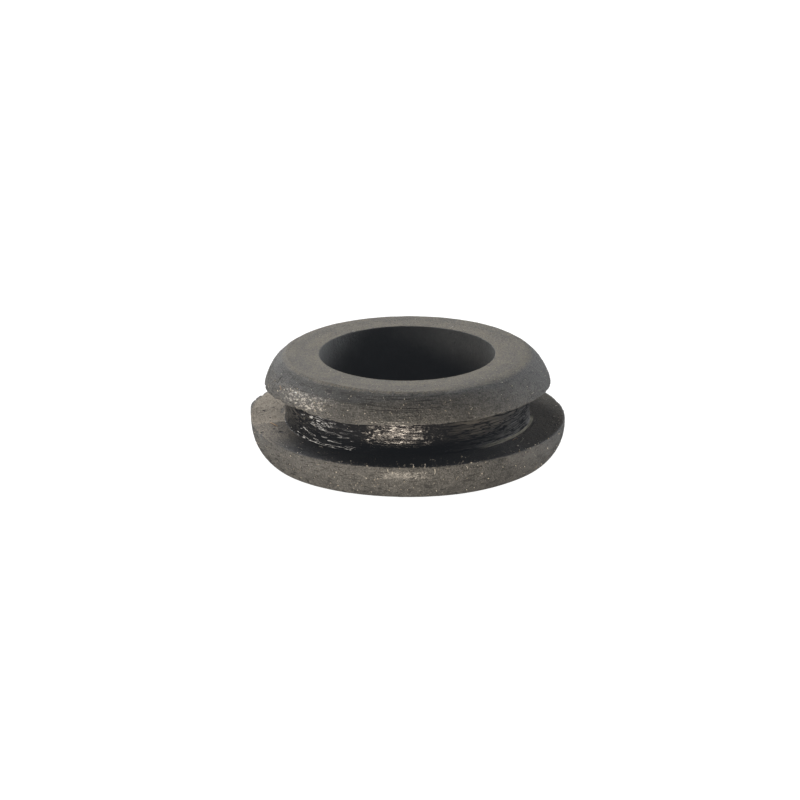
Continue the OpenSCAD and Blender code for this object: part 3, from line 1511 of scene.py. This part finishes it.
def pale_lint(skin: Skin) -> Lint:
    """Pale fibres along the wide flange's lip and on its side."""
    fibres = (
        Fibre(Seat.FLOOR, (0.9, 16.0), (1.9, 17.0), 0.6, 0.16),
        Fibre(Seat.FLOOR, (6.1, 16.3), (6.0, 17.02), 0.2, 0.25, 0.025),
        Fibre(Seat.SIDE, (9.6, 3.62), (9.5, 3.02), 0.1, 0.02, 0.028),
        Fibre(Seat.FLOOR, (52.8, 15.06), (57.3, 14.6), 1.4, 0.05, 0.02),
        Fibre(Seat.FLOOR, (-43.4, 13.77), (-40.5, 14.0), 0.8, 0.08, 0.03),
        Fibre(Seat.FLOOR, (8.9, 14.9), (11.0, 15.4), 0.5, 0.1, 0.018),
        Fibre(Seat.SIDE, (-7.3, 3.62), (-7.0, 3.30), 0.1, 0.02, 0.022),
        Fibre(Seat.SIDE, (21.0, 3.60), (21.6, 3.30), 0.2, 0.02, 0.02),
        Fibre(Seat.FLOOR, (-76.0, 13.9), (-74.0, 14.6), 1.0, 0.05, 0.02),
    )
    finish = DustFinish("pale_lint", Colour(0.46, 0.43, 0.37), Colour(0.72, 0.69, 0.63))
    return Lint(skin, "lint_pale", finish, fibres)


def tan_lint(skin: Skin) -> Lint:
    """Brown fibres on the floor of the groove, and one on the domed flange's side."""
    fibres = (
        Fibre(Seat.FLOOR, (-81.6, 14.98), (-76.2, 14.40), 0.9, 0.10, 0.036),
        Fibre(Seat.FLOOR, (52.9, 14.05), (54.9, 14.30), 1.3, 0.12, 0.025),
        Fibre(Seat.SIDE, (-66.5, 9.35), (-63.8, 9.05), 0.6, 0.03, 0.02),
    )
    finish = DustFinish("tan_lint", Colour(0.26, 0.15, 0.07), Colour(0.58, 0.38, 0.21))
    return Lint(skin, "lint_tan", finish, fibres)


# ---------------------------------------------------------------- studio


class LampShape(Enum):
    """Outline of a lamp."""

    PANEL = "RECTANGLE"
    OVAL = "ELLIPSE"

    @property
    def fullness(self) -> float:
        """Share of its width times its height that it fills."""
        return math.pi / 4 if self is LampShape.OVAL else 1.0


@dataclass(frozen=True)
class Softbox:
    """A flat lamp that faces the part."""

    name: str
    bearing: float
    elevation: float
    distance: float
    width: float
    height: float
    radiance: float
    colour: Colour = Colour(1.0, 1.0, 1.0)
    shape: LampShape = LampShape.PANEL

    def build(self, target: Vector) -> bpy.types.Object:
        """Adds the lamp.

        Args:
            target: What it faces, in metres.

        Returns:
            The lamp's object.
        """
        lamp = bpy.data.lights.new(self.name, "AREA")
        lamp.shape = self.shape.value
        lamp.size = self.width
        lamp.size_y = self.height
        lamp.energy = self.radiance * math.pi * self.width * self.height * self.shape.fullness
        lamp.color = self.colour.rgba()[:3]
        turn, rise = math.radians(self.bearing), math.radians(self.elevation)
        level = math.cos(rise)
        back = Vector((math.sin(turn) * level, -math.cos(turn) * level, math.sin(rise)))
        piece = bpy.data.objects.new(self.name, lamp)
        piece.location = target + back * self.distance
        piece.rotation_mode = "QUATERNION"
        piece.rotation_quaternion = (-back).to_track_quat("-Z", "Y")
        piece.visible_camera = False
        bpy.context.scene.collection.objects.link(piece)
        return piece


@dataclass
class Studio:
    """The table, the lamps and the camera."""

    target: Vector
    image_px: float = 800.0
    target_px: tuple[float, float] = (407.45, 401.0)
    px_per_mm: float = 9.216
    distance_mm: float = 500.0
    elevation: float = 18.6
    roll: float = -0.36
    table_glow: float = 1.0
    bounce_glow: float = 0.3
    table_half: float = 2000.0
    table_z: float = -0.04
    bounce_z: float = -0.08
    rest_radius: float = 15.2
    rest_z: float = -0.02
    sensor_mm: float = 36.0
    veil: Colour = Colour(0.0095, 0.0105, 0.0120)

    def build(self) -> None:
        """Sets the whole studio up."""
        self.build_table()
        for lamp in self.lamps():
            lamp.build(self.target)
        self.build_world()
        self.build_camera()
        view = bpy.context.scene.view_settings
        view.view_transform = "Standard"
        view.look = "None"
        view.use_curve_mapping = True
        view.curve_mapping.black_level = [-share for share in self.veil.rgba()[:3]]
        view.curve_mapping.update()

    def lamps(self) -> list[Softbox]:
        """The lamps: a low ring of panels, mostly behind the part, and three that shine up from below."""
        ring = (
            ("back_left", -150.0, 35.0, 13.8),
            ("back_left_high", -150.0, 60.0, 4.8),
            ("right_low", 120.0, 14.0, 8.8),
            ("right_high", 120.0, 35.0, 1.9),
            ("back_right_low", 150.0, 14.0, 1.1),
            ("back_low", 180.0, 14.0, 0.6),
        )
        far, near = 0.8, 0.4
        warm = Colour(1.0, 0.94, 0.86)
        amber = Colour(1.0, 0.87, 0.71)
        oval = LampShape.OVAL
        wide, high = 0.40, 0.30
        lamps = [Softbox(name, turn, rise, far, wide, high, power) for name, turn, rise, power in ring]
        lamps.append(Softbox("left_strip", -85.0, 14.0, far, 0.90, 0.12, 9.4, warm))
        lamps.append(Softbox("below_front", -10.0, -20.5, near, 0.18, 0.09, 24.0, amber, oval))
        lamps.append(Softbox("below_front_spill", -9.0, -21.0, near, 0.34, 0.145, 11.0, amber, oval))
        lamps.append(Softbox("below_left", -88.0, -20.0, near, 0.11, 0.07, 11.0, warm))
        return lamps

    def build_table(self) -> None:
        """Lays a white table that only the camera sees, a dim one that lights the part, and a disc.

        Neither table shows in the gloss, so that the lamps below them do.
        """
        tables = (
            ("table", self.table_glow, self.table_z, True),
            ("table_bounce", self.bounce_glow, self.bounce_z, False),
        )
        for name, glow, height, seen in tables:
            sheet = bmesh.new()
            bmesh.ops.create_grid(sheet, x_segments=1, y_segments=1, size=self.table_half)
            bmesh.ops.translate(sheet, vec=(0, 0, height), verts=sheet.verts)
            table = finish_mesh(sheet, name, TableFinish(f"{name}_white", glow, shade=0.1).build())
            table.visible_shadow = False
            table.visible_camera = seen
            table.visible_diffuse = not seen
            table.visible_glossy = False
        disc = bmesh.new()
        bmesh.ops.create_circle(disc, cap_ends=True, segments=96, radius=self.rest_radius)
        bmesh.ops.translate(disc, vec=(0, 0, self.rest_z), verts=disc.verts)
        finish_mesh(disc, "table_rest", TableFinish("plain_table", glow=0.0, shade=0.6).build())

    def build_world(self) -> None:
        """Leaves the room dark, so that only the lamps and the tables give light."""
        world = bpy.data.worlds.new("room")
        world.use_nodes = True
        world.node_tree.nodes["Background"].inputs["Strength"].default_value = 0.0
        bpy.context.scene.world = world

    def build_camera(self) -> None:
        """Places the camera at its distance and elevation, with the part at its place in the frame."""
        data = bpy.data.cameras.new("camera")
        data.sensor_width = self.sensor_mm
        data.lens = self.px_per_mm * self.distance_mm / self.image_px * data.sensor_width
        data.shift_x = (self.image_px / 2 - self.target_px[0]) / self.image_px
        data.shift_y = (self.target_px[1] - self.image_px / 2) / self.image_px
        rise = math.radians(self.elevation)
        back = Vector((0.0, -math.cos(rise), math.sin(rise)))
        camera = bpy.data.objects.new("camera", data)
        camera.location = self.target + back * self.distance_mm * MM
        camera.rotation_mode = "QUATERNION"
        roll = Quaternion((0, 0, 1), math.radians(self.roll))
        camera.rotation_quaternion = (-back).to_track_quat("-Z", "Y") @ roll
        bpy.context.scene.collection.objects.link(camera)
        bpy.context.scene.camera = camera


def main() -> None:
    """Builds the pieces and the studio."""
    logging.basicConfig(level=logging.INFO, format="%(name)s: %(message)s")
    low, high = CAD_BOX
    section = Section.from_frame(frame["record"], high.z / MM)
    skin = Skin(section)
    for maker in (skin, Crumbs(skin), pale_lint(skin), tan_lint(skin)):
        piece = maker.build()
        log.info("%s has %d faces", piece.name, len(piece.data.polygons))
    Studio(target=Vector((0.0, 0.0, (low.z + high.z) / 2))).build()
    log.info("studio is set")


if __name__ == "__main__":
    main()
